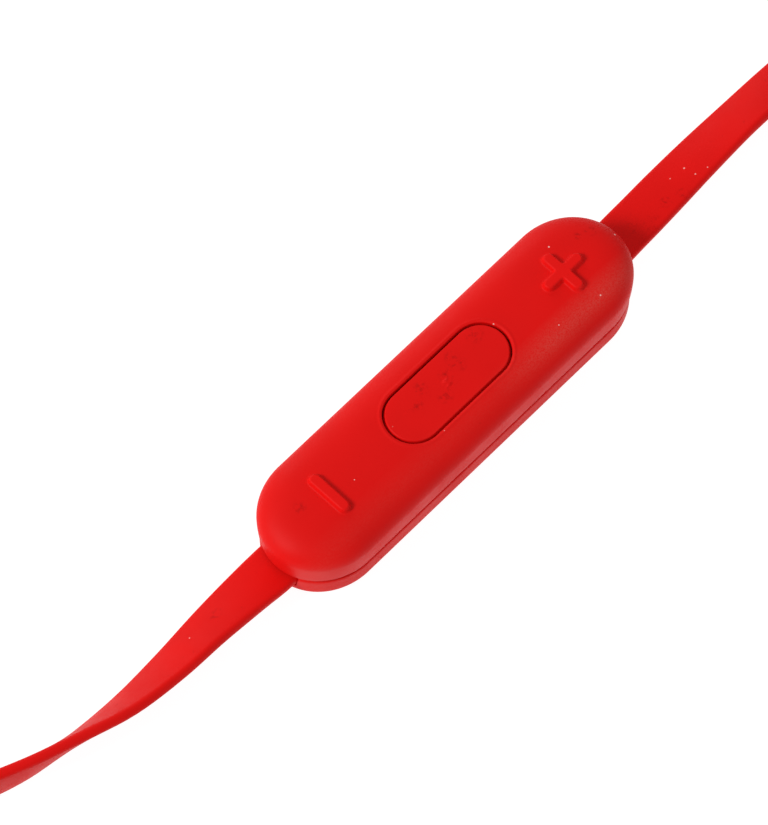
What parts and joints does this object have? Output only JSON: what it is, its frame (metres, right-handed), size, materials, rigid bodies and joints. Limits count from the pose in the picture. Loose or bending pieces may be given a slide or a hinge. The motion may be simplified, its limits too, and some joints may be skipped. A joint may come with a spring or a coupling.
{
  "type": "wired earphones",
  "caption": "Wired earphones with a flat ribbon cord, an in-line three-key remote with microphone, a splitter and a jack plug.",
  "frame": {"origin": "centre of the in-line remote's flat rear face", "axes": "+Z out of the remote's keys, +X along the remote towards its plus key and the earbuds"},
  "size_m": [0.2656, 0.0311, 0.0145],
  "materials": {
    "soft_touch_red": "matte soft-touch moulding",
    "ribbon_elastomer": "satin extruded elastomer",
    "silicone": "matte silicone",
    "board_laminate": "solder resist",
    "black_moulding": "moulded nylon",
    "steel": "satin",
    "gold_plate": "polished plate",
    "diaphragm_film": "thin film"
  },
  "bodies": {
    "earphones": {"rear_shell": "soft_touch_red", "splitter_top": "soft_touch_red", "splitter_bottom": "soft_touch_red", "plug_grip": "soft_touch_red", "left_relief": "soft_touch_red", "left_rear_cap": "soft_touch_red", "left_housing": "soft_touch_red", "left_nozzle": "soft_touch_red", "right_relief": "soft_touch_red", "right_rear_cap": "soft_touch_red", "right_housing": "soft_touch_red", "right_nozzle": "soft_touch_red", "lower_cord": "ribbon_elastomer", "lower_hank": "ribbon_elastomer", "lower_cord_end": "ribbon_elastomer", "upper_cord": "ribbon_elastomer", "left_branch": "ribbon_elastomer", "right_branch": "ribbon_elastomer", "branch_hank": "ribbon_elastomer", "left_lead": "ribbon_elastomer", "right_lead": "ribbon_elastomer", "plug_relief": "ribbon_elastomer", "microphone_gasket": "silicone", "tie_a": "silicone", "tie_b": "silicone", "tie_c": "silicone", "tie_d": "silicone", "circuit_board": "board_laminate", "plus_switch": "black_moulding", "minus_switch": "black_moulding", "centre_switch": "black_moulding", "control_chip": "black_moulding", "cord_anchor_lower": "black_moulding", "cord_anchor_upper": "black_moulding", "splitter_core": "black_moulding", "plug_insulator": "black_moulding", "left_driver_frame": "black_moulding", "right_driver_frame": "black_moulding", "pivot_pin_a": "steel", "pivot_pin_b": "steel", "microphone": "steel", "left_magnet": "steel", "left_screen": "steel", "right_magnet": "steel", "right_screen": "steel", "plug_sleeve": "gold_plate", "plug_ring_a": "gold_plate", "plug_ring_b": "gold_plate", "plug_tip": "gold_plate", "left_diaphragm": "diaphragm_film", "right_diaphragm": "diaphragm_film"},
    "rocker": {"front_cover": "soft_touch_red"},
    "play_key": {"centre_button": "soft_touch_red"},
    "left_tip": {"left_ear_tip": "silicone"},
    "right_tip": {"right_ear_tip": "silicone"}
  },
  "joints": [
    {"name": "volume_rocker", "type": "hinge", "parent": "earphones", "child": "rocker", "pos_m": [0, 0, 0.0044], "axis": [0, 1, 0], "range_deg": [-0.7, 0.7], "stiffness_Nm_per_rad": 0.5},
    {"name": "play_key_press", "type": "slide", "parent": "earphones", "child": "play_key", "axis": [0, 0, 1], "range_m": [-0.0003, 0], "stiffness_N_per_m": 800},
    {"name": "left_tip_pull", "type": "slide", "parent": "earphones", "child": "left_tip", "axis": [1, 0, 0], "range_m": [0, 0.007]},
    {"name": "right_tip_pull", "type": "slide", "parent": "earphones", "child": "right_tip", "axis": [-1, 0, 0], "range_m": [0, 0.007]}
  ]
}
